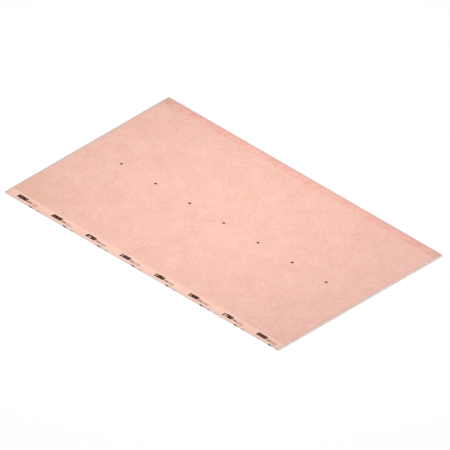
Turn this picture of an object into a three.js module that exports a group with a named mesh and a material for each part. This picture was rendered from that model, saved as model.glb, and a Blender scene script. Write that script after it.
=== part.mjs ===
// A plasterboard (drywall) sheet with tapered long edges and square-cut ends, lying face side up.
// Millimetres. +X runs along the sheet, +Y across it and +Z up through its thickness.
// The origin is at the middle of the underside.
//
// The sheet is a laminate of three pieces. The face paper is one strip: it covers the front,
// follows the tapers down, wraps both long edges and is folded under the core as two flaps.
// The backing paper is laid over those flaps and stops short of the long edges.

import * as THREE from "three";

// The sheet
const sheetLength = 2000; // between the two cut ends
const sheetWidth = 1200; // over the two wrapped long edges
const sheetThickness = 12.5; // over both papers, away from the tapers

// The two papers
const facePaperThickness = 0.3;
const backPaperThickness = 0.3;
const flapWidth = 26; // face paper folded under the core, measured from the long edge
const backPaperInset = 12; // strip of flap that the backing paper leaves bare at each long edge

// The tapered long edges
const taperWidth = 50; // sloping strip beside each long edge, which takes the joint tape
const taperDepth = 1.5; // how far the face has dropped where it meets the long edge
const taperEasing = 14; // length over which the flat face rolls over into the slope
const frontArrisRadius = 1.8; // outside of the paper, from the slope into the long edge
const backArrisRadius = 1.3; // outside of the paper, where it folds under

// Facets on each curve of the section
const curveSteps = 5;

const halfWidth = sheetWidth / 2;
const taperAngle = Math.atan2(taperDepth, taperWidth);

const paleGypsum = { color: 0xe9ddd5, roughness: 0.95, metalness: 0 };
const pinkPaper = { color: 0xf4bfb1, roughness: 0.85, metalness: 0 };
const greyBrownPaper = { color: 0xb8aa99, roughness: 0.9, metalness: 0 };

// Half of the line that the face paper follows, seen in section: from the end of the flap,
// around the long edge and up the taper to the flat of the face. The outside of the paper is at
// inset 0, and its inside, which the core fills, is at inset facePaperThickness.
function traceHalfWrap(inset) {
  const slopeAtArris = taperWidth - frontArrisRadius;
  const arrisCentreHeight =
    sheetThickness - slopeAtArris * Math.tan(taperAngle) - frontArrisRadius / Math.cos(taperAngle);
  const faceHeight = sheetThickness - inset;
  const slopeTop = halfWidth - taperWidth - inset * Math.tan(taperAngle / 2);
  const easeReach = taperEasing / 2;

  const flapEnd = new THREE.Vector2(halfWidth - flapWidth, backPaperThickness + inset);
  const line = new THREE.Path();
  line.absarc(
    halfWidth - backArrisRadius,
    backPaperThickness + backArrisRadius,
    backArrisRadius - inset,
    -Math.PI / 2,
    0,
  );
  line.absarc(
    halfWidth - frontArrisRadius,
    arrisCentreHeight,
    frontArrisRadius - inset,
    0,
    Math.PI / 2 - taperAngle,
  );
  line.lineTo(
    slopeTop + easeReach * Math.cos(taperAngle),
    faceHeight - easeReach * Math.sin(taperAngle),
  );
  line.quadraticCurveTo(slopeTop, faceHeight, slopeTop - easeReach, faceHeight);
  return [flapEnd, ...line.getPoints(curveSteps)];
}

// The whole line, from the flap at +Y over the face to the flap at -Y
function traceWrap(inset) {
  const plusSide = traceHalfWrap(inset);
  const minusSide = plusSide.map((point) => new THREE.Vector2(-point.x, point.y));
  return [...plusSide, ...minusSide.reverse()];
}

// Runs a section, drawn across the sheet, along its whole length
function runAlongSheet(section) {
  const geometry = new THREE.ExtrudeGeometry(new THREE.Shape(section), {
    depth: sheetLength,
    steps: 1,
    bevelEnabled: false,
  });
  const across = new THREE.Vector3(0, 1, 0);
  const up = new THREE.Vector3(0, 0, 1);
  const along = new THREE.Vector3(1, 0, 0);
  geometry.applyMatrix4(new THREE.Matrix4().makeBasis(across, up, along));
  return geometry;
}

function makePiece(name, section, finish) {
  const piece = new THREE.Mesh(runAlongSheet(section), new THREE.MeshStandardMaterial(finish));
  piece.name = name;
  piece.position.x = -sheetLength / 2;
  return piece;
}

// The core fills the face paper, and between the flaps it reaches down to the backing paper
function makeGypsumCore() {
  const underside = halfWidth - flapWidth;
  const section = [
    ...traceWrap(facePaperThickness),
    new THREE.Vector2(-underside, backPaperThickness),
    new THREE.Vector2(underside, backPaperThickness),
  ];
  return makePiece("gypsum_core", section, paleGypsum);
}

function makeFacePaper() {
  const section = [...traceWrap(0), ...traceWrap(facePaperThickness).reverse()];
  return makePiece("face_paper", section, pinkPaper);
}

function makeBackPaper() {
  const reach = halfWidth - backPaperInset;
  const section = [
    new THREE.Vector2(-reach, 0),
    new THREE.Vector2(reach, 0),
    new THREE.Vector2(reach, backPaperThickness),
    new THREE.Vector2(-reach, backPaperThickness),
  ];
  return makePiece("back_paper", section, greyBrownPaper);
}

const drywallSheet = new THREE.Group();
drywallSheet.add(makeGypsumCore(), makeFacePaper(), makeBackPaper());

export default drywallSheet;
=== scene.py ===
import math
import random

import bpy
from mathutils import Matrix, Vector, noise


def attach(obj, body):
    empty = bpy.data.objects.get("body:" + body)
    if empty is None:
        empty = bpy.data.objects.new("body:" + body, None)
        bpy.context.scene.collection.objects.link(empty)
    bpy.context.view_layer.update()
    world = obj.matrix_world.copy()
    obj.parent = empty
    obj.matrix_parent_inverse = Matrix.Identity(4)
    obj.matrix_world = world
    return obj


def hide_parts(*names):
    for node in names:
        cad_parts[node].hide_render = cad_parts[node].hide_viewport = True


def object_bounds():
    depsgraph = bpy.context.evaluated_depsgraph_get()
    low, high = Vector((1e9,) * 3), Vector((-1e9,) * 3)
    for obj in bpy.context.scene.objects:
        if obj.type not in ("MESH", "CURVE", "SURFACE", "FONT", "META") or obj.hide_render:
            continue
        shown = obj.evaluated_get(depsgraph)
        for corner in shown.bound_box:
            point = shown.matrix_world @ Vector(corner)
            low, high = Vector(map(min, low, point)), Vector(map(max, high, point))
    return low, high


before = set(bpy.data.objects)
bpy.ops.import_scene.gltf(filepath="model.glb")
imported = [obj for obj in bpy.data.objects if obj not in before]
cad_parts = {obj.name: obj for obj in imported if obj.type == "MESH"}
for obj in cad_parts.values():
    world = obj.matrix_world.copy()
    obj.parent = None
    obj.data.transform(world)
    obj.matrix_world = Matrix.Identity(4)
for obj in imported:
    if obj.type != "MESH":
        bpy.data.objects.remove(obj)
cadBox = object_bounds()
print("sheet loaded")

mm = 0.001
tiny = 1e-9  # metres, for lengths that should come out equal
low, high = cadBox
sheetLength = high[0] - low[0]
sheetWidth = high[1] - low[1]
faceHeight = high[2]
halfLength = sheetLength / 2
halfWidth = sheetWidth / 2

# the section that the pieces share, drawn across the sheet
section = {
    "facePaper": 0.3 * mm,
    "backPaper": 0.3 * mm,
    "inkRoom": 0.05 * mm,  # the paper lies this far inside the sheet's box, so that ink has room on it
    "flap": 26 * mm,
    "backPaperInset": 12 * mm,
    "taperWidth": 50 * mm,
    "taperDepth": 1.5 * mm,
    "taperEasing": 14 * mm,
    "frontArris": 1.8 * mm,
    "backArris": 1.3 * mm,
    "steps": {"flap": 8, "backTurn": 6, "side": 5, "frontTurn": 8, "slope": 14, "ease": 6},
}
taperAngle = math.atan2(section["taperDepth"], section["taperWidth"])


class Wire:
    # an output socket, on which a sum written in Python adds Math nodes
    def __init__(self, finish, socket):
        self.finish = finish
        self.socket = socket

    def maths(self, operation, first, second):
        return self.finish.node("ShaderNodeMath", {"operation": operation}, {0: first, 1: second})

    def __add__(self, other):
        return self.maths("ADD", self, other)

    def __radd__(self, other):
        return self.maths("ADD", other, self)

    def __sub__(self, other):
        return self.maths("SUBTRACT", self, other)

    def __rsub__(self, other):
        return self.maths("SUBTRACT", other, self)

    def __mul__(self, other):
        return self.maths("MULTIPLY", self, other)

    def __rmul__(self, other):
        return self.maths("MULTIPLY", other, self)

    def __abs__(self):
        return self.maths("ABSOLUTE", self, 0)


class Finish:
    # the nodes of a material, or of the world, added from Python
    def __init__(self, holder):
        self.holder = holder
        holder.use_nodes = True
        self.tree = holder.node_tree
        self.tree.nodes.clear()
        self.noises = {}

    def node(self, kind, settings=None, sockets=None, take=0):
        made = self.tree.nodes.new(kind)
        for name, value in (settings or {}).items():
            setattr(made, name, value)
        for name, value in (sockets or {}).items():
            if isinstance(value, Wire):
                self.tree.links.new(value.socket, made.inputs[name])
            else:
                made.inputs[name].default_value = value
        return Wire(self, made.outputs[take]) if made.outputs else made

    def place(self, kind="Object"):
        return self.node("ShaderNodeTexCoord", take=kind)

    def axes(self, place):
        split = self.node("ShaderNodeSeparateXYZ", sockets={0: place}).socket.node
        return [Wire(self, out) for out in split.outputs]

    def stretched(self, place, scales):
        return self.node("ShaderNodeVectorMath", {"operation": "MULTIPLY"}, {0: place, 1: scales})

    def fade(self, value, start, end):
        # 0 before start and 1 past end, or the other way round if start is the larger
        sockets = {"Value": value, "From Min": start, "From Max": end}
        return self.node("ShaderNodeMapRange", {"interpolation_type": "SMOOTHSTEP"}, sockets)

    def clouds(self, place, scale, detail=2.0, roughness=0.5):
        if isinstance(scale, tuple):  # a scale for each axis
            place, scale = self.stretched(place, scale), 1
        sockets = {"Vector": place, "Scale": scale, "Detail": detail, "Roughness": roughness}
        return self.node("ShaderNodeTexNoise", sockets=sockets)

    def layNoises(self, place, settings):
        # clouds for each name, from its scale, detail and roughness
        self.noises = {name: self.clouds(place, *values) for name, values in settings.items()}

    def swayed(self, middle, **shares):
        # a level that each named noise moves up and down by its share
        level = middle
        for name, share in shares.items():
            level = level + (self.noises[name] - 0.5) * share
        return level

    def heaped(self, **shares):
        # the named noises added up, each by its share
        parts = [self.noises[name] * share for name, share in shares.items()]
        return sum(parts[1:], parts[0])

    def cells(self, place, scale):
        sockets = {"Vector": place, "Scale": scale}
        return self.node("ShaderNodeTexVoronoi", sockets=sockets, take="Distance")

    def specks(self, place, kind):
        # spots, in clumps where the grain noise is high
        spots = self.fade(self.cells(place, kind["scale"]), *kind["spot"])
        return spots * self.fade(self.noises["grain"], *kind["clump"])

    def hairs(self, place, kind):
        # thin curly lines, where a noise crosses its middle, in short lengths
        hairline, length = (0.013, 0.003), (0.54, 0.62)
        line = self.fade(abs(self.clouds(place, kind["curl"], 1) - 0.5), *hairline)
        return line * self.fade(self.clouds(place, kind["spread"], 1), *length)

    def mix(self, share, first, second):
        return self.node("ShaderNodeMix", {"data_type": "RGBA"}, {0: share, 6: first, 7: second}, take=2)

    def over(self, colour, mask, kind):
        # lays a kind's shade over a colour, by its share, where the mask shows
        return self.mix(mask * kind["share"], colour, kind["shade"])

    def bump(self, height, depth, under=None):
        sockets = {"Height": height, "Distance": depth}
        if under:
            sockets["Normal"] = under
        return self.node("ShaderNodeBump", sockets=sockets)

    def surface(self, sockets):
        shader = self.node("ShaderNodeBsdfPrincipled", sockets=sockets)
        self.node("ShaderNodeOutputMaterial", sockets={"Surface": shader})
        return self.holder


def newFinish(name):
    return Finish(bpy.data.materials.new(name))


def tint(red, green, blue):
    # a colour as a paint chart gives it, 0 to 255, for a shader socket
    linear = [(c / 255 + 0.055) / 1.055 for c in (red, green, blue)]
    return tuple(c ** 2.4 for c in linear) + (1.0,)


class Skin:
    # a mesh of grids of corners, joined into a closed skin
    def __init__(self, name):
        self.name = name
        self.corners = []
        self.faces = []
        self.unwrapped = []

    def grid(self, rows):
        # keeps the corners of each row and gives their numbers back
        numbers = []
        for row in rows:
            first = len(self.corners)
            self.corners.extend(row)
            numbers.append(list(range(first, first + len(row))))
        return numbers

    def cover(self, numbers, patch, turned=False):
        # quads between rows of corners, unwrapped over patch: (left, bottom, right, top)
        left, bottom, right, top = patch
        rows, columns = len(numbers) - 1, len(numbers[0]) - 1
        for r in range(rows):
            for c in range(columns):
                quad = [(r, c), (r, c + 1), (r + 1, c + 1), (r + 1, c)]
                if turned:
                    quad.reverse()
                self.faces.append([numbers[i][j] for i, j in quad])
                for i, j in quad:
                    across = left + (right - left) * i / rows
                    up = bottom + (top - bottom) * j / columns
                    self.unwrapped.append((across, up))

    def build(self, material, creaseAngle=math.radians(35)):
        mesh = bpy.data.meshes.new(self.name)
        mesh.from_pydata(self.corners, [], self.faces)
        layer = mesh.uv_layers.new(name="OFBake")
        for spot, place in zip(layer.data, self.unwrapped):
            spot.uv = place
        mesh.validate()
        mesh.shade_smooth()
        mesh.set_sharp_from_angle(angle=creaseAngle)
        mesh.materials.append(material)
        piece = bpy.data.objects.new(self.name, mesh)
        bpy.context.scene.collection.objects.link(piece)
        return piece


def spaced(start, end, steps):
    return [start + (end - start) * step / steps for step in range(steps + 1)]


def arc(centre, radius, start, end, steps):
    return [
        (centre[0] + radius * math.cos(a), centre[1] + radius * math.sin(a))
        for a in spaced(start, end, steps)
    ]


def wrapLine(inset, faceStep):
    # (y, z) from the end of one flap, round the long edge and over the face to the other flap
    steps = section["steps"]
    slopeAtArris = section["taperWidth"] - section["frontArris"]
    frontCentre = (
        halfWidth - section["frontArris"],
        faceHeight - slopeAtArris * math.tan(taperAngle) - section["frontArris"] / math.cos(taperAngle),
    )
    backCentre = (halfWidth - section["backArris"], section["backPaper"] + section["backArris"])
    level = faceHeight - inset
    slopeTop = halfWidth - section["taperWidth"] - inset * math.tan(taperAngle / 2)
    reach = section["taperEasing"] / 2

    flapRun = spaced(halfWidth - section["flap"], backCentre[0], steps["flap"])
    flap = [(y, section["backPaper"] + inset) for y in flapRun]
    backTurn = arc(backCentre, section["backArris"] - inset, -math.pi / 2, 0, steps["backTurn"])
    ontoSlope = math.pi / 2 - taperAngle
    frontTurn = arc(frontCentre, section["frontArris"] - inset, 0, ontoSlope, steps["frontTurn"])
    side = [(halfWidth - inset, z) for z in spaced(backTurn[-1][1], frontTurn[0][1], steps["side"])]
    slopeFoot = Vector(frontTurn[-1])
    easeFoot = Vector((slopeTop + reach * math.cos(taperAngle), level - reach * math.sin(taperAngle)))
    slope = [tuple(slopeFoot.lerp(easeFoot, share)) for share in spaced(0, 1, steps["slope"])]
    ease = []
    for t in spaced(0, 1, steps["ease"]):  # rolls from the slope into the flat
        first = easeFoot.lerp(Vector((slopeTop, level)), t)
        last = Vector((slopeTop, level)).lerp(Vector((slopeTop - reach, level)), t)
        ease.append(tuple(first.lerp(last, t)))
    flatSteps = round((slopeTop - reach) / faceStep)
    flat = [(y, level) for y in spaced(slopeTop - reach, 0, flatSteps)]
    half = flap[:-1] + backTurn[:-1] + side[:-1] + frontTurn[:-1] + slope[:-1] + ease[:-1] + flat
    return half + [(-y, z) for y, z in reversed(half[:-1])]


def ragged(a, b, wear, turn=0):
    # 0 to 1, in lumps of about the wear's size
    return 0.5 + 0.5 * noise.noise(Vector((a / wear["size"], b / wear["size"], wear["seed"] + turn)))


# the corner at -X, -Y has been knocked: it is pushed back, rounded over and dirty

knock = {
    "size": 2.0 * mm,
    "spread": 2.2,  # how many sizes away the push has faded out
    "along": 0.55,  # how far the corner itself is pushed, as a share of the size
    "across": 0.6,  # as a share of the push along the sheet
    "down": 0.25,
    "dirtFade": (11 * mm, 4 * mm),  # clean past the first, dirty inside the second
    "dirtRagged": 14 * mm,
    "dirtFlat": (1, 1, 3),  # it hardly runs down the sides
    "noises": {  # scale, detail and roughness
        "blots": (330, 4, 0.8),
        "scuffs": ((300, 1400, 900), 3, 0.7),
    },
    "scuffFade": (0.35, 0.75),
    "filled": 0.35,  # how far the thick of the dirt closes the gaps between scuffs
    "leastBlot": 0.55,
    "blotShare": 0.6,
}


def crushed(x, y, z):
    gap = Vector((x + halfLength, y + halfWidth)).length
    push = max(0.0, 1 - gap / (knock["spread"] * knock["size"])) ** 2 * knock["size"] * knock["along"]
    return (x + push, y + push * knock["across"], z - push * knock["down"] if z > faceHeight / 2 else z)


def gapFrom(finish, place, at, squash=(1, 1, 1)):
    # how far a point is from the top of the corner at that end and that long edge, each -1 or 1
    top = (faceHeight - section["taperDepth"]) * squash[2]
    corner = (at[0] * halfLength, at[1] * halfWidth, top)
    sockets = {0: finish.stretched(place, squash), 1: corner}
    return finish.node("ShaderNodeVectorMath", {"operation": "DISTANCE"}, sockets, take="Value")


def knockedDirt(finish, place):
    # the share of dirt round the knocked corner, in ragged blots
    gap = gapFrom(finish, place, (-1, -1), knock["dirtFlat"])
    blots, scuffs = [finish.clouds(place, *values) for values in knock["noises"].values()]
    dirt = finish.fade(gap + (blots - 0.5) * knock["dirtRagged"], *knock["dirtFade"])
    scuffed = finish.fade(scuffs + dirt * knock["filled"], *knock["scuffFade"])
    return dirt * scuffed * (knock["leastBlot"] + blots * knock["blotShare"])


# pink face paper

pinkPaper = {
    # the pulp of the face and of each taper, with painted light on the front taper and painted shade on
    # the back one, the hues between which it turns tan, and how much it does
    "face": {
        "pale": tint(251, 202, 188), "deep": tint(232, 174, 159), "tan": tint(237, 191, 169),
        "tanHues": (0.35, 0.7), "tanShare": 0.45,
    },
    # painted light: the front taper paler, as the light falls on its slope
    "frontTaperPaintedLight": {
        "pale": tint(255, 213, 198), "deep": tint(254, 195, 179), "tan": tint(255, 206, 180),
        "tanHues": (0.42, 0.66), "tanShare": 0.8,
    },
    # painted shade: the back taper pinker and darker, as it slopes away from the light
    "backTaperPaintedShade": {
        "pale": tint(251, 191, 178), "deep": tint(233, 167, 150), "tan": tint(237, 191, 169),
        "tanHues": (0.45, 0.7), "tanShare": 0.6,
    },
    "taperFade": 5 * mm,
    "taperWander": 16 * mm,
    "pinkReach": 56 * mm,  # from the back long edge: how far the back taper's painted shade reaches
    "pinkFoot": (4 * mm, 9 * mm),  # heights on that edge between which the pink begins
    "pinkLumps": 2,  # how much lumpier the pink is
    "noises": {  # scale, detail and roughness
        "swathes": (4.5, 2, 1.0),
        "hue": (13, 3, 0.9),
        "lumps": (16, 2, 1.0),
        "flocks": (60, 3, 1.0),
        "grain": (200, 2, 0.6),
        "pulp": (900, 3, 0.7),
        "fibres": ((420, 1500, 1500), 3, 0.6),  # drawn out along the sheet
    },
    # levels, and how far each noise moves them
    "tone": {
        "middle": 0.635, "swathes": 0.9, "lumps": 0.8, "flocks": 2.4,
        "grain": 0.5, "pulp": 1.6, "fibres": 1.6,
    },
    "nap": {"middle": 0.5, "fibres": 2.6, "pulp": 1.8, "grain": 1.2},
    "roughness": {"middle": 0.78, "fibres": 0.2},
    "specular": 0.25,
    "relief": {"fibres": 0.6, "pulp": 0.5, "grain": 0.3},
    "reliefDepth": 0.09 * mm,
    "lumpDepth": 0.25 * mm,
    # shades laid over it, each by its share
    "hairs": {"shade": tint(251, 222, 211), "share": 0.6, "curl": 210, "spread": 340, "height": 0.3},
    "darkHairs": {"shade": tint(203, 140, 122), "share": 0.3, "curl": 170, "spread": 290},
    "flecks": {
        "shade": tint(203, 140, 122), "share": 0.7, "scale": 150, "spot": (0.1, 0.04), "clump": (0.5, 0.6),
    },
    # painted light: paler towards the right corner, where the lamp's light falls off
    "paintedLightCorner": {"shade": tint(251, 202, 188), "share": 0.6, "at": (1, 1), "reach": 330 * mm},
    "brownCorner": {"shade": tint(234, 186, 162), "share": 0.7, "at": (-1, -1), "reach": 400 * mm},
    # painted shade: darker towards the rear corner
    "paintedShadeCorner": {"shade": tint(194, 156, 143), "share": 0.4, "at": (-1, 1), "reach": 150 * mm},
    "rubbed": {  # beside the long edges, where the fibres are up
        "shade": tint(248, 223, 213), "share": 0.6, "reach": 4 * mm, "patches": (0.95, 1.3),
    },
    # dirt and wear, partly painted shade, with the least share of each, and how much more the noises add
    # gypsum dust beside the cut ends, with painted shade where it reaches further at -X
    "dustAndPaintedShade": {
        "pale": tint(229, 204, 195), "deep": tint(208, 177, 168), "least": 0.25, "grain": 0.4,
        "reach": 26 * mm,  # from the cut ends
        "lean": 4 * mm,  # further from the end at -X than from the one at +X, as painted shade along that far cut end
        "wave": 9 * mm,
    },
    # grime along the long edges; the extra share at the back edge is painted shade
    "grimeAndPaintedShade": {
        "pale": tint(223, 191, 184), "deep": tint(201, 166, 159), "least": 0.1, "atBack": 0.7,
        "reach": 27 * mm,  # from the long edges
    },
    "worn": {
        "shade": tint(222, 200, 183), "least": 0.1, "grain": 0.4,
        "reach": 8 * mm,  # from the front long edge
        "foot": (10.2 * mm, 11 * mm),  # heights on that edge between which it begins
    },
    "arris": {"least": 0.2, "grain": 0.3, "fade": (1.5 * mm, 0.3 * mm)},  # of the rubbed shade
    "lowSideDarkening": {"least": 0.05, "flocks": 0.4, "fade": (10.5 * mm, 3 * mm)},  # darker towards the bottom of the long edges
    "smudge": tint(96, 80, 70),
    "faceStep": 2.6 * mm,
    "stations": [0, 1.2 * mm, 3.5 * mm, 9 * mm, 20 * mm],  # from each cut end
    "middleSteps": 44,
    # the tear that the knife leaves along the cut ends, and nicks, where the raggedness passes from
    "fray": {"depth": 0.35 * mm, "size": 5 * mm, "seed": 1, "power": 1.5},
    "nick": {"depth": 0.9 * mm, "size": 17 * mm, "seed": 7, "from": 0.72},
    "unwrap": {  # left, bottom, right and top
        "outside": (0.004, 0.004, 0.996, 0.86),
        "flapEnd": (0.004, 0.87, 0.3, 0.88),
        "farFlapEnd": (0.4, 0.87, 0.7, 0.88),
        "cutEnd": (0.004, 0.89, 0.996, 0.905),
        "farCutEnd": (0.004, 0.91, 0.996, 0.925),
        "inside": (0.004, 0.93, 0.996, 0.996),
    },
}


def mottled(finish, tone, pulp):
    # pale and deep pulp, tan in patches; on the tapers this carries their painted light and shade
    colour = finish.mix(tone, pulp["deep"], pulp["pale"])
    tan = finish.fade(finish.noises["hue"], *pulp["tanHues"])
    return finish.mix(tan * pulp["tanShare"], colour, pulp["tan"])


def overCorner(finish, place, colour, corner):
    near = finish.fade(gapFrom(finish, place, corner["at"]), corner["reach"], 0.0)
    return finish.over(colour, near, corner)


def paperWithPaintedLight(finish, place, y, z):
    # the paper's mottling, with painted light making the front taper a little paler than the face and
    # painted shade making the back one pinker, as the light falls on their slopes
    look = pinkPaper
    lumps = finish.noises["lumps"] - 0.5
    tone = finish.swayed(**look["tone"])
    colour = mottled(finish, tone, look["face"])
    # painted light towards the right corner
    colour = overCorner(finish, place, colour, look["paintedLightCorner"])
    colour = overCorner(finish, place, colour, look["brownCorner"])

    soft = look["taperFade"]
    frontLine = section["taperWidth"] - halfWidth
    backLine = halfWidth - look["pinkReach"]
    wander = y + lumps * look["taperWander"]
    atFront = finish.fade(wander, frontLine + soft, frontLine - soft)
    atBack = finish.fade(wander, backLine - soft, backLine + soft) * finish.fade(z, *look["pinkFoot"])
    # painted light over the front taper, and painted shade over the back one
    colour = finish.mix(atFront, colour, mottled(finish, tone, look["frontTaperPaintedLight"]))
    pink = mottled(finish, tone + lumps * look["pinkLumps"], look["backTaperPaintedShade"])
    return finish.mix(atBack, colour, pink)


def withHairs(finish, place, hairs, colour):
    # pale and dark hairs, flecks, and painted shade darkening the rear corner
    look = pinkPaper
    colour = finish.over(colour, hairs, look["hairs"])
    # painted shade round the rear corner
    colour = overCorner(finish, place, colour, look["paintedShadeCorner"])
    colour = finish.over(colour, finish.hairs(place, look["darkHairs"]), look["darkHairs"])
    return finish.over(colour, finish.specks(place, look["flecks"]), look["flecks"])


def dirtWearAndPaintedShade(finish, x, y, z, rubbed, colour):
    # gypsum dust beside the cut ends and grime along the long edges, each partly painted shade at the far
    # end and the back edge, wear on their arrises, and darker towards the bottom of the long edges
    look = pinkPaper
    dustAndPaintedShade, grimeAndPaintedShade, worn = look["dustAndPaintedShade"], look["grimeAndPaintedShade"], look["worn"]
    arris, lowSideDarkening, bare = look["arris"], look["lowSideDarkening"], look["rubbed"]["shade"]
    lumps, flocks, grain = [finish.noises[name] for name in ("lumps", "flocks", "grain")]
    nap = finish.swayed(**look["nap"])
    fromEnd = halfLength - abs(x - dustAndPaintedShade["lean"])
    fromEdge = halfWidth - abs(y)

    # gypsum dust beside the cut ends, and painted shade where it reaches further at -X
    nearEnd = finish.fade(fromEnd + lumps * dustAndPaintedShade["wave"], dustAndPaintedShade["reach"], 0.0)
    dustAndShadeColour = finish.mix(nap, dustAndPaintedShade["deep"], dustAndPaintedShade["pale"])
    colour = finish.mix(nearEnd * (dustAndPaintedShade["least"] + flocks + grain * dustAndPaintedShade["grain"]), colour, dustAndShadeColour)

    # grime along the long edges, growing into painted shade towards the back edge
    nearEdge = finish.fade(fromEdge, grimeAndPaintedShade["reach"], 0.0)
    grimeAndShadeColour = finish.mix(nap, grimeAndPaintedShade["deep"], grimeAndPaintedShade["pale"])
    flat = halfWidth - section["taperWidth"]
    atBack = finish.fade(y, -flat, flat)
    colour = finish.mix(nearEdge * (grimeAndPaintedShade["least"] + atBack * grimeAndPaintedShade["atBack"]), colour, grimeAndShadeColour)

    atFront = finish.fade(y + halfWidth, worn["reach"], 0.0) * finish.fade(z, *worn["foot"])
    colour = finish.mix(atFront * (worn["least"] + grain * worn["grain"]), colour, worn["shade"])
    colour = finish.over(colour, rubbed, look["rubbed"])
    onArris = finish.fade(fromEdge, *arris["fade"])
    colour = finish.mix(onArris * (arris["least"] + grain * arris["grain"]), colour, bare)
    # darker towards the bottom of the long edges
    onSide = finish.fade(z, *lowSideDarkening["fade"]) * onArris
    return finish.mix(onSide * (lowSideDarkening["least"] + flocks * lowSideDarkening["flocks"]), colour, grimeAndShadeColour)


def pinkPaperFinish():
    look = pinkPaper
    finish = newFinish("pink_face_paper")
    place = finish.place()
    x, y, z = finish.axes(place)
    finish.layNoises(place, look["noises"])
    lumps, grain, fibres = [finish.noises[name] for name in ("lumps", "grain", "fibres")]
    hairs = finish.hairs(place, look["hairs"])
    nearEdge = finish.fade(halfWidth - abs(y), look["rubbed"]["reach"], 0.0)
    rubbed = nearEdge * finish.fade(grain + lumps, *look["rubbed"]["patches"])

    colour = withHairs(finish, place, hairs, paperWithPaintedLight(finish, place, y, z))
    colour = dirtWearAndPaintedShade(finish, x, y, z, rubbed, colour)
    colour = finish.mix(knockedDirt(finish, place), colour, look["smudge"])
    relief = finish.heaped(**look["relief"]) + hairs * look["hairs"]["height"] + rubbed * fibres
    return finish.surface({
        "Base Color": colour,
        "Roughness": finish.swayed(**look["roughness"]),
        "Specular IOR Level": look["specular"],
        "Normal": finish.bump(relief, look["reliefDepth"], finish.bump(lumps, look["lumpDepth"])),
    })


def tornAway(run, end):
    # how much of the paper a cut end has lost, so far round the sheet
    fray, nick = pinkPaper["fray"], pinkPaper["nick"]
    torn = fray["depth"] * ragged(run, end, fray) ** fray["power"]
    return torn + nick["depth"] * max(0.0, ragged(run, end, nick) - nick["from"])


def wrapFacePaper():
    shape = pinkPaper
    skin = Skin("face_paper_wrap")
    near = shape["stations"]
    middle = spaced(-halfLength + near[-1], halfLength - near[-1], shape["middleSteps"])
    along = [-halfLength + d for d in near[:-1]] + middle + [halfLength - d for d in reversed(near[:-1])]

    def row(line, x):
        corners = []
        end = 0 if abs(x) < halfLength - tiny else math.copysign(1, x)
        run = 0.0
        for spot, (y, z) in enumerate(line):
            run += math.dist(line[spot - 1], line[spot]) if spot else 0
            torn = tornAway(run, end) if end else 0
            corners.append(crushed(x - end * torn, y, z))
        return corners

    outside = wrapLine(section["inkRoom"], shape["faceStep"])
    inside = wrapLine(section["facePaper"], shape["faceStep"])
    outer = skin.grid([row(outside, x) for x in along])
    inner = skin.grid([row(inside, x) for x in along])
    unwrap = shape["unwrap"]
    skin.cover(outer, unwrap["outside"])
    skin.cover(inner, unwrap["inside"], turned=True)
    skin.cover([[row[0] for row in side] for side in (outer, inner)], unwrap["flapEnd"])
    skin.cover([[row[-1] for row in side] for side in (outer, inner)], unwrap["farFlapEnd"], turned=True)
    skin.cover([outer[0], inner[0]], unwrap["cutEnd"], turned=True)
    skin.cover([outer[-1], inner[-1]], unwrap["farCutEnd"])
    return skin.build(pinkPaperFinish())


facePaper = wrapFacePaper()
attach(facePaper, "root")
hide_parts("face_paper")
print("face paper wrapped:", len(facePaper.data.polygons), "faces")


# gypsum core

gypsum = {
    "pale": tint(246, 232, 224),
    "grey": tint(236, 217, 209),
    "paleFade": (0.36, 0.64),
    "noises": {  # scale, detail and roughness
        "lumps": (90, 3, 0.6),
        "crumbs": (520, 4, 0.75),
        "sand": (1300, 3, 0.65),
        "sizes": (420, 1),
        "strands": ((500, 160, 700), 1),
    },
    "chalk": {"lumps": 0.35, "sand": 0.25, "crumbs": 0.4},
    "relief": {"sand": 1.1, "crumbs": 1.6, "lumps": 0.5},
    "reliefDepth": 0.3 * mm,
    "roughness": {"middle": 0.9, "sand": 0.15},
    "specular": 0.2,
    "glass": {"shade": tint(246, 245, 242), "share": 0.7, "strand": (0.012, 0.003), "clump": (0.45, 0.6)},
    # painted shade, laid into the holes
    "paintedPoreShadow": tint(187, 175, 165),
    # holes in cells, with how their sizes spread, and how near the middle they begin and are open; each
    # darkens by its share of painted shade and sinks by its depth
    "holes": {
        "foam": {"scale": 1500, "spread": 0.4, "open": (0.5, 0.34), "dark": 0.25, "depth": 0.25},
        "pores": {"scale": 820, "spread": 0.45, "open": (0.42, 0.3), "dark": 0.5, "depth": 0.5},
        "pits": {"scale": 240, "spread": 0.25, "open": (0.25, 0.19), "dark": 0.8, "depth": 1.0},
    },
    "dirt": {"shade": tint(96, 78, 68), "share": 0.9},
    "columnStep": 0.9 * mm,
    "rows": 15,
    "faceStep": 100 * mm,
    # how the cut ends have crumbled, more under the papers, which are left standing as a lip
    "crumble": {"depth": 0.42 * mm, "size": 4 * mm, "seed": 3},
    "fineCrumble": {"depth": 0.252 * mm, "size": 1.4 * mm, "seed": 9},
    "rimCrumble": {"depth": 0.6 * mm, "size": 3 * mm, "seed": 15, "reach": 1.3 * mm},
    # and chipped, where the raggedness passes from, within reach of the papers and less inside
    "chip": {"depth": 1.1 * mm, "size": 11 * mm, "seed": 21, "from": 0.55, "reach": 3 * mm, "inside": 0.3},
    "bodyStart": 20 * mm,  # from each cut end to the first station between them
    "bodySteps": 3,
    "strips": 4,  # the long thin end is unwrapped in strips, so that its grain stays sharp
    "unwrap": {  # left, bottom, right and top, and the height from one strip to the next
        "body": (0.004, 0.5, 0.996, 0.996),
        "strip": (0.004, 0.004, 0.996, 0.056),
        "stripStep": 0.06,
    },
}


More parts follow.
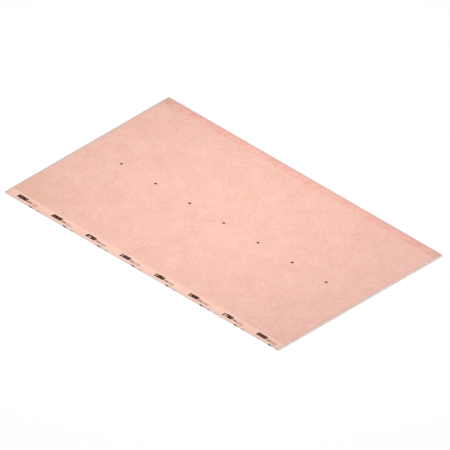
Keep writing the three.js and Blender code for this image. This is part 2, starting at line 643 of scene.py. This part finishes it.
def gypsumFinish():
    look = gypsum
    finish = newFinish("set_gypsum")
    place = finish.place()
    finish.layNoises(place, look["noises"])
    lumps, sizes, strands = [finish.noises[name] for name in ("lumps", "sizes", "strands")]
    chalk = finish.heaped(**look["chalk"])
    colour = finish.mix(finish.fade(chalk, *look["paleFade"]), look["grey"], look["pale"])
    glass = finish.fade(abs(strands - 0.5), *look["glass"]["strand"])
    colour = finish.over(colour, glass * finish.fade(lumps, *look["glass"]["clump"]), look["glass"])
    relief = finish.heaped(**look["relief"])
    for hole in look["holes"].values():
        hollow = finish.fade(finish.cells(place, hole["scale"]) + sizes * hole["spread"], *hole["open"])
        # painted shade in each hole
        colour = finish.mix(hollow * hole["dark"], colour, look["paintedPoreShadow"])
        relief = relief - hollow * hole["depth"]
    return finish.surface({
        "Base Color": finish.over(colour, knockedDirt(finish, place), look["dirt"]),
        "Roughness": finish.swayed(**look["roughness"]),
        "Specular IOR Level": look["specular"],
        "Normal": finish.bump(relief, look["reliefDepth"]),
    })


def heightOn(line, y):
    # z of a line of (y, z) at y
    for (y0, z0), (y1, z1) in zip(line, line[1:]):
        if y0 - tiny <= y <= y1 + tiny and y1 > y0:
            return z0 + (z1 - z0) * (y - y0) / (y1 - y0)
    return line[-1][1] if y > line[-1][0] else line[0][1]


def crumbledAway(y, z, rim, end):
    # how much a cut end has lost at a spot that lies rim away from the nearest paper
    coarse, fine, lip, chip = [gypsum[name] for name in ("crumble", "fineCrumble", "rimCrumble", "chip")]
    lost = coarse["depth"] * ragged(y, z, coarse, end) + fine["depth"] * ragged(y, z, fine, end)
    nearRim = max(0.0, 1 - rim / lip["reach"]) ** 2
    lost += lip["depth"] * nearRim * ragged(y, z, lip, end)
    lump = max(0.0, ragged(y, z, chip, end) - chip["from"])
    return lost + chip["depth"] * lump * max(chip["inside"], 1 - rim / chip["reach"])


def onceRound(numbers):
    # round a cut end: along the bottom, up the +Y side, back along the top and down
    bottom = [column[0] for column in numbers]
    top = [column[-1] for column in reversed(numbers)]
    return bottom + numbers[-1][1:-1] + top + list(reversed(numbers[0][1:-1])) + bottom[:1]


def castGypsumCore():
    shape = gypsum
    skin = Skin("gypsum_core_cut")
    wrap = wrapLine(section["facePaper"], shape["faceStep"])
    half = wrap[:len(wrap) // 2 + 1]
    widest = max(y for y, z in half)
    turning = [spot for spot, (y, z) in enumerate(half) if y > widest - tiny]
    under = half[:turning[0] + 1]
    over = list(reversed(half[turning[-1]:]))
    steps = round(2 * widest / shape["columnStep"])

    def cutEnd(end):
        columns = []
        for y in spaced(-widest, widest, steps):
            inFlap = abs(y) > halfWidth - section["flap"] - tiny
            bottom = heightOn(under, abs(y)) if inFlap else section["backPaper"]
            thick = heightOn(over, abs(y)) - bottom
            column = []
            for turn in spaced(0, math.pi, shape["rows"]):
                share = (1 - math.cos(turn)) / 2  # rows lie closer near the papers
                z = bottom + thick * share
                lost = crumbledAway(y, z, min(share, 1 - share) * thick, end)
                column.append(crushed(end * (halfLength - lost), y, z))
            columns.append(column)
        return skin.grid(columns)

    ends = {-1: cutEnd(-1), 1: cutEnd(1)}
    outline = [skin.corners[number] for number in onceRound(ends[1])[:-1]]
    rings = [onceRound(ends[-1])]
    bodyEnd = halfLength - shape["bodyStart"]
    for x in spaced(-bodyEnd, bodyEnd, shape["bodySteps"]):
        numbers = skin.grid([[(x, y, z) for _, y, z in outline]])[0]
        rings.append(numbers + numbers[:1])
    rings.append(onceRound(ends[1]))
    skin.cover(rings, shape["unwrap"]["body"])

    perStrip = math.ceil(steps / shape["strips"])
    left, bottom, right, top = shape["unwrap"]["strip"]
    for order, (end, numbers) in enumerate(ends.items()):
        for strip in range(shape["strips"]):
            up = (order * shape["strips"] + strip) * shape["unwrap"]["stripStep"]
            part = numbers[strip * perStrip:(strip + 1) * perStrip + 1]
            skin.cover(part, (left, bottom + up, right, top + up), turned=end > 0)
    return skin.build(gypsumFinish())


gypsumCore = castGypsumCore()
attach(gypsumCore, "root")
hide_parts("gypsum_core")
print("gypsum core cast:", len(gypsumCore.data.polygons), "faces")


# backing paper

backingPaper = {
    "pale": tint(193, 183, 169),
    "brown": tint(167, 154, 137),
    "paleFade": (0.1, 0.9),
    "noises": {  # scale, detail and roughness
        "clouds": (12, 3, 0.6),
        "blotches": (60, 3, 0.6),
        "grain": (320, 2, 0.6),
        "fibres": ((240, 1400, 1400), 3, 0.6),  # drawn out along the sheet
        "pulp": (900, 3, 0.7),
        "streaks": ((2, 60, 60), 2),
    },
    # levels, and how far each noise moves them
    "tone": {"middle": 0.5, "clouds": 0.7, "blotches": 0.9, "streaks": 0.6, "fibres": 1.2, "pulp": 0.9},
    "roughness": {"middle": 0.85, "fibres": 0.2},
    "specular": 0.2,
    "relief": {"fibres": 0.6, "pulp": 0.4, "grain": 0.3},
    "reliefDepth": 0.08 * mm,
    "blotchDepth": 0.4 * mm,
    # shades laid over it, each by its share
    "specks": {
        "shade": tint(110, 96, 83), "share": 0.7, "scale": 210, "spot": (0.16, 0.06), "clump": (0.45, 0.6),
    },
    "lightSpecks": {
        "shade": tint(218, 211, 199), "share": 0.5, "scale": 170, "spot": (0.15, 0.05),
        "squash": (1, 2.3, 1),
    },
    "hairs": {"shade": tint(218, 211, 199), "share": 0.5, "curl": 190, "spread": 320, "height": 0.3},
    "alongSteps": 60,
    "acrossSteps": 90,
    "slit": {"depth": 0.35 * mm, "size": 160 * mm, "seed": 37},
    "fray": {"depth": 0.4 * mm, "size": 6 * mm, "seed": 31},
    "unwrap": {  # left, bottom, right and top
        "bottom": (0.004, 0.004, 0.996, 0.86),
        "nearSlit": (0.004, 0.87, 0.48, 0.88),
        "farSlit": (0.52, 0.87, 0.996, 0.88),
        "cutEnd": (0.004, 0.89, 0.48, 0.91),
        "farCutEnd": (0.52, 0.89, 0.996, 0.91),
        "top": (0.004, 0.93, 0.996, 0.996),
    },
}


def backingPaperFinish():
    look = backingPaper
    finish = newFinish("grey_brown_backing_paper")
    place = finish.place()
    finish.layNoises(place, look["noises"])
    hairs = finish.hairs(place, look["hairs"])
    tone = finish.swayed(**look["tone"])
    colour = finish.mix(finish.fade(tone, *look["paleFade"]), look["brown"], look["pale"])
    colour = finish.over(colour, finish.specks(place, look["specks"]), look["specks"])
    light = look["lightSpecks"]
    flat = finish.cells(finish.stretched(place, light["squash"]), light["scale"])
    colour = finish.over(colour, finish.fade(flat, *light["spot"]), light)
    colour = finish.over(colour, hairs, look["hairs"])
    relief = finish.heaped(**look["relief"]) + hairs * look["hairs"]["height"]
    blotched = finish.bump(finish.noises["blotches"], look["blotchDepth"])
    return finish.surface({
        "Base Color": colour,
        "Roughness": finish.swayed(**look["roughness"]),
        "Specular IOR Level": look["specular"],
        "Normal": finish.bump(relief, look["reliefDepth"], blotched),
    })


def layBackingPaper():
    shape = backingPaper
    skin = Skin("back_paper_laid")
    reach = halfWidth - section["backPaperInset"]
    slit, fray = shape["slit"], shape["fray"]
    ends = {0: -1, shape["alongSteps"]: 1}

    def layer(z):
        rows = []
        for station, x in enumerate(spaced(-halfLength, halfLength, shape["alongSteps"])):
            row = []
            end = ends.get(station, 0)
            for y in spaced(-reach, reach, shape["acrossSteps"]):
                side = y / reach if abs(y) > reach - tiny else 0
                torn = fray["depth"] * ragged(y, end, fray)
                wave = slit["depth"] * ragged(x, side, slit)
                row.append((x - end * torn, y - side * wave, z))
            rows.append(row)
        return skin.grid(rows)

    bottom = layer(0.0)
    top = layer(section["backPaper"])
    unwrap = shape["unwrap"]
    skin.cover(bottom, unwrap["bottom"])
    skin.cover(top, unwrap["top"], turned=True)
    skin.cover([[row[0] for row in side] for side in (bottom, top)], unwrap["nearSlit"])
    skin.cover([[row[-1] for row in side] for side in (bottom, top)], unwrap["farSlit"], turned=True)
    skin.cover([bottom[0], top[0]], unwrap["cutEnd"], turned=True)
    skin.cover([bottom[-1], top[-1]], unwrap["farCutEnd"])
    return skin.build(backingPaperFinish())


backPaper = layBackingPaper()
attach(backPaper, "root")
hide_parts("back_paper")
print("backing paper laid:", len(backPaper.data.polygons), "faces")


# ink: plain length numbers with ticks beside the front long edge, bars on the long edge and centre dots

printing = {
    "dark": {"dense": tint(42, 15, 1), "thin": tint(78, 40, 18)},
    "red": {"dense": tint(76, 20, 0), "thin": tint(104, 44, 18)},
    "thinFade": (0.52, 0.72),
    "noises": {"fine": (700, 3, 0.6), "coarse": (90, 2)},  # scale, detail and roughness
    "uneven": {"fine": 0.6, "coarse": 0.4},
    "roughness": 0.75,
    "roughnessSpread": 0.3,
    "specular": 0.02,
    "thickness": 0.03 * mm,
    "float": 0.012 * mm,  # clear of the paper under it
    "pitch": 250 * mm,  # along the sheet, from one repeat to the next
    "slant": 0.14,
    "endGap": 1 * mm,  # bare, at the cut end
    "edgeStep": 0.9 * mm,
    "edgeSpread": 0.09 * mm,  # how unevenly the ink meets the paper
    "seed": 12,
}
# start counts along the sheet from each repeat, and foot inwards from the long edge, or up it for the bars
lengthNumbers = {
    "start": 71 * mm,
    "foot": 12.2 * mm,
    "step": 16.8 * mm,  # from one digit to the next
    "digitWidth": 16.3 * mm,
    "digitHeight": 24.6 * mm,
    # heavy stencil digits, drawn on a field of 5 by 7
    "field": (5, 7),
    "bar": 2.2,  # strokes along the sheet
    "stem": 2.3,  # strokes across it
    "cut": 0.6,  # off the corners
    "bridge": 0.2,  # bare, in the middle of a 0
}
lengthTicks = {
    "close": {
        "start": 144 * mm, "width": 3.6 * mm, "step": 5.1 * mm, "count": 6,
        "foot": 15 * mm, "tall": 10 * mm,
    },
    "wide": {
        "start": 180 * mm, "width": 2.1 * mm, "step": 7.4 * mm, "count": 5,
        "foot": 10 * mm, "tall": 18 * mm,
    },
}
edgeBars = {
    "block": {
        "start": 172.5 * mm, "width": 23 * mm, "step": 0, "count": 1,
        "foot": 1.7 * mm, "tall": 7.4 * mm,
    },
    "ticks": {
        "start": 199 * mm, "width": 1.6 * mm, "step": 5.6 * mm, "count": 4,
        "foot": 3.2 * mm, "tall": 4.2 * mm,
    },
    "bar": {
        "start": 229 * mm, "width": 12 * mm, "step": 0, "count": 1,
        "foot": 2.2 * mm, "tall": 4.4 * mm,
    },
    "pair": {
        "start": 245.2 * mm, "width": 2 * mm, "step": 3.8 * mm, "count": 2,
        "foot": 6 * mm, "tall": 3 * mm,
    },
}
centreDots = {
    "radius": 7.2 * mm,
    "shift": (2 * mm, -1.5 * mm),  # off the middle of the sheet, along and across
    "sides": 44,
}


def inkFinish(name, look):
    finish = newFinish(name)
    finish.layNoises(finish.place(), printing["noises"])
    uneven = finish.heaped(**printing["uneven"])
    return finish.surface({
        "Base Color": finish.mix(finish.fade(uneven, *printing["thinFade"]), look["dense"], look["thin"]),
        "Roughness": printing["roughness"] + (uneven - 0.5) * printing["roughnessSpread"],
        "Specular IOR Level": printing["specular"],
    })


def mirrored(outline):
    return [(lengthNumbers["field"][0] - a, b) for a, b in reversed(outline)]


def upended(outline):
    return [(a, lengthNumbers["field"][1] - b) for a, b in reversed(outline)]


def drawDigits():
    # the outlines of each digit's strokes
    wide, high = lengthNumbers["field"]
    bar, stem, cut, bridge = [lengthNumbers[name] for name in ("bar", "stem", "cut", "bridge")]
    half = (wide - bridge) / 2
    bracket = [
        (cut, 0), (half, 0), (half, bar), (stem, bar), (stem, high - bar),
        (half, high - bar), (half, high), (cut, high), (0, high - cut), (0, cut),
    ]
    waist, shoulder = (high - bar) / 2, (high + bar) / 2
    hook = [
        (0, 0), (wide, 0), (wide, bar), (stem, bar), (stem, waist), (wide - cut, waist),
        (wide, waist + cut), (wide, high - cut), (wide - cut, high), (0, high), (0, high - bar),
        (wide - stem, high - bar), (wide - stem, shoulder), (cut, shoulder), (0, shoulder - cut),
    ]
    left, right = (wide - stem) / 2, (wide + stem) / 2
    post = [
        (cut, 0), (wide - cut, 0), (wide - cut, bar), (right, bar), (right, high), (left, high),
        (cut / 2, high - bar / 2), (cut / 2, shoulder), (left, high - bar), (left, bar), (cut, bar),
    ]
    flag = [
        (cut, 0), (cut + stem, 0), (wide, high - bar), (wide, high), (0, high), (0, high - bar),
        (wide - stem, high - bar),
    ]
    return {"0": [bracket, mirrored(bracket)], "1": [post], "2": [hook], "5": [upended(hook)], "7": [flag]}


def leaning(outline, slant):
    return [(a + slant * b, b) for a, b in outline]


def roughEdged(outline, dice):
    # an outline as it prints on fibres, a little in or out at every step
    uneven = []
    for start, end in zip(outline, outline[1:] + outline[:1]):
        along = Vector(end) - Vector(start)
        steps = max(1, round(along.length / printing["edgeStep"]))
        outward = Vector((along.y, -along.x)).normalized()
        for step in range(steps):
            off = dice.gauss(0, printing["edgeSpread"])
            uneven.append(tuple(Vector(start) + along * (step / steps) + outward * off))
    return uneven


def stroke(outline, dice):
    # a thin closed slab of ink with rough sides
    rough = roughEdged(outline, dice)
    count = len(rough)
    corners = [(a, b, 0) for a, b in rough] + [(a, b, printing["thickness"]) for a, b in rough]
    faces = [list(reversed(range(count))), list(range(count, 2 * count))]
    faces += [[i, (i + 1) % count, (i + 1) % count + count, i + count] for i in range(count)]
    mesh = bpy.data.meshes.new("stroke")
    mesh.from_pydata(corners, [], faces)
    return mesh


def numberStamps(text, matrix, dice):
    # one stamp for each stroke of a number, whose foot the matrix places
    shape = lengthNumbers
    wide = shape["digitWidth"] / shape["field"][0]
    high = shape["digitHeight"] / shape["field"][1]
    digits = drawDigits()
    stamps = []
    for order, digit in enumerate(text):
        left = order * shape["step"]
        for outline in digits[digit]:
            sized = [(left + a * wide, b * high) for a, b in outline]
            stamps.append((stroke(leaning(sized, printing["slant"]), dice), matrix))
    return stamps


def barStamps(row, slant, lay, repeat, dice):
    # a row of printed bars, as far as the end of the sheet
    width, tall = row["width"], row["tall"]
    outline = leaning([(0, 0), (width, 0), (width, tall), (0, tall)], slant)
    starts = [repeat + row["start"] + row["step"] * i for i in range(row["count"])]
    kept = [start for start in starts if start + width < sheetLength - printing["endGap"]]
    return [(stroke(outline, dice), lay(start, row["foot"])) for start in kept]


def dotStamp(along, dice):
    sides, radius = centreDots["sides"], centreDots["radius"]
    turns = [2 * math.pi * side / sides for side in range(sides)]
    outline = [(radius * math.cos(a), radius * math.sin(a)) for a in turns]
    forward, sideways = centreDots["shift"]
    return (stroke(outline, dice), onFace(along + forward, halfWidth + sideways))


def onFrontTaper(along, fromEdge):
    # a matrix that lays a stamp on the sloping strip, so far from the end at -X and from the long edge
    drop = (fromEdge - section["taperWidth"]) * math.tan(taperAngle)
    under = (section["inkRoom"] - printing["float"]) / math.cos(taperAngle)
    foot = Vector((-halfLength + along, -halfWidth + fromEdge, faceHeight + drop - under))
    return Matrix.Translation(foot) @ Matrix.Rotation(taperAngle, 4, "X")


def onLongEdge(along, up):
    # a matrix that stands a stamp on the front long edge
    y = -halfWidth + section["inkRoom"] - printing["float"]
    return Matrix.Translation((-halfLength + along, y, up)) @ Matrix.Rotation(math.pi / 2, 4, "X")


def onFace(along, across):
    z = faceHeight - section["inkRoom"] + printing["float"]
    return Matrix.Translation((-halfLength + along, -halfWidth + across, z))


def printed(name, stamps, material):
    # joins (mesh, matrix) stamps into one piece of ink
    corners, faces = [], []
    for mesh, matrix in stamps:
        first = len(corners)
        corners.extend(tuple(matrix @ v.co) for v in mesh.vertices)
        faces.extend([first + v for v in polygon.vertices] for polygon in mesh.polygons)
    joined = bpy.data.meshes.new(name)
    joined.from_pydata(corners, [], faces)
    joined.materials.append(material)
    piece = bpy.data.objects.new(name, joined)
    bpy.context.scene.collection.objects.link(piece)
    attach(piece, "root")
    return piece


def printSheet():
    pitch = printing["pitch"]
    repeats = round(sheetLength / pitch)
    dice = random.Random(printing["seed"])
    numbers, ticks, bars = [], [], []
    for order in range(repeats):
        repeat = order * pitch
        text = f"{round((repeat + pitch) / mm):04d}"
        foot = onFrontTaper(repeat + lengthNumbers["start"], lengthNumbers["foot"])
        numbers += numberStamps(text, foot, dice)
        for row in lengthTicks.values():
            ticks += barStamps(row, printing["slant"], onFrontTaper, repeat, dice)
        for row in edgeBars.values():
            bars += barStamps(row, 0.0, onLongEdge, repeat, dice)
    dots = [dotStamp(order * pitch, dice) for order in range(1, repeats)]
    darkInk = inkFinish("dark_brown_ink", printing["dark"])
    redInk = inkFinish("red_brown_ink", printing["red"])
    return [
        printed("length_numbers", numbers, darkInk),
        printed("length_ticks", ticks, darkInk),
        printed("edge_bars", bars, darkInk),
        printed("centre_dots", dots, redInk),
    ]


marks = printSheet()
print("marks printed:", sum(len(piece.data.polygons) for piece in marks), "faces")


# floor, light and camera

studio = {
    "white": tint(255, 255, 255),
    "floorTint": tint(252, 252, 252),
    "floorSize": 14.0,
    "floorDrop": 0.1 * mm,
    "floorGlow": 1.05,
    "floorWhite": 0.85,  # how much of the floor's look is plain white, the rest takes the sheet's shadow
    "wallLight": 1.285,  # the world's strength at the height of the walls
    "ceilingLight": 0.145,
    "wallTop": (math.sin(math.radians(25)), math.sin(math.radians(45))),  # where walls fade to ceiling
    "lampPlace": (-0.07, 0.10, 2.3),
    "lampWidth": 1.4,
    "lampPower": 32.8,
}
cameraSetting = {
    "target": (0.019, -0.010, faceHeight),
    "azimuth": math.radians(45),
    "elevation": math.asin(1 / math.sqrt(3)),  # an isometric view
    "width": 2.329,
    "distance": 6.0,
}


def seenDirectly(finish):
    # 1 for what the camera sees, itself or in a gloss or through glass
    path = finish.node("ShaderNodeLightPath").socket.node.outputs
    direct = Wire(finish, path["Is Camera Ray"]) + Wire(finish, path["Is Glossy Ray"])
    return direct + Wire(finish, path["Is Transmission Ray"])


def layFloor():
    size = studio["floorSize"] / 2
    z = low[2] - studio["floorDrop"]
    mesh = bpy.data.meshes.new("floor")
    corners = [(-size, -size, z), (size, -size, z), (size, size, z), (-size, size, z)]
    mesh.from_pydata(corners, [], [(0, 1, 2, 3)])
    finish = newFinish("white_floor")
    matt = finish.node("ShaderNodeBsdfDiffuse", sockets={"Color": studio["floorTint"]})
    glow = finish.node("ShaderNodeEmission", sockets={"Strength": studio["floorGlow"]})
    share = seenDirectly(finish) * studio["floorWhite"]
    both = finish.node("ShaderNodeMixShader", sockets={0: share, 1: matt, 2: glow})
    finish.node("ShaderNodeOutputMaterial", sockets={"Surface": both})
    mesh.materials.append(finish.holder)
    floor = bpy.data.objects.new("floor", mesh)
    bpy.context.scene.collection.objects.link(floor)


def lightStudio():
    world = bpy.data.worlds.new("studio")
    bpy.context.scene.world = world
    finish = Finish(world)
    rise = finish.axes(finish.place("Generated"))[2]
    ceiling = finish.fade(rise, *studio["wallTop"])
    room = studio["wallLight"] + ceiling * (studio["ceilingLight"] - studio["wallLight"])
    seen = seenDirectly(finish)
    strength = seen + (1 - seen) * room
    sky = finish.node("ShaderNodeBackground", sockets={"Color": studio["white"], "Strength": strength})
    finish.node("ShaderNodeOutputWorld", sockets={"Surface": sky})

    lamp = bpy.data.lights.new("softbox", "AREA")
    lamp.shape = "DISK"
    lamp.size = studio["lampWidth"]
    lamp.energy = studio["lampPower"]
    softbox = bpy.data.objects.new("softbox", lamp)
    softbox.location = studio["lampPlace"]
    bpy.context.scene.collection.objects.link(softbox)


def placeCamera():
    setting = cameraSetting
    turn, rise = setting["azimuth"], setting["elevation"]
    back = Vector((math.sin(turn) * math.cos(rise), -math.cos(turn) * math.cos(rise), math.sin(rise)))
    lens = bpy.data.cameras.new("camera")
    lens.type = "ORTHO"
    lens.ortho_scale = setting["width"]
    camera = bpy.data.objects.new("camera", lens)
    camera.location = Vector(setting["target"]) + back * setting["distance"]
    camera.rotation_euler = back.to_track_quat("Z", "Y").to_euler()
    bpy.context.scene.collection.objects.link(camera)
    bpy.context.scene.camera = camera


layFloor()
lightStudio()
placeCamera()
bpy.context.scene.view_settings.view_transform = "Standard"
print("studio set")
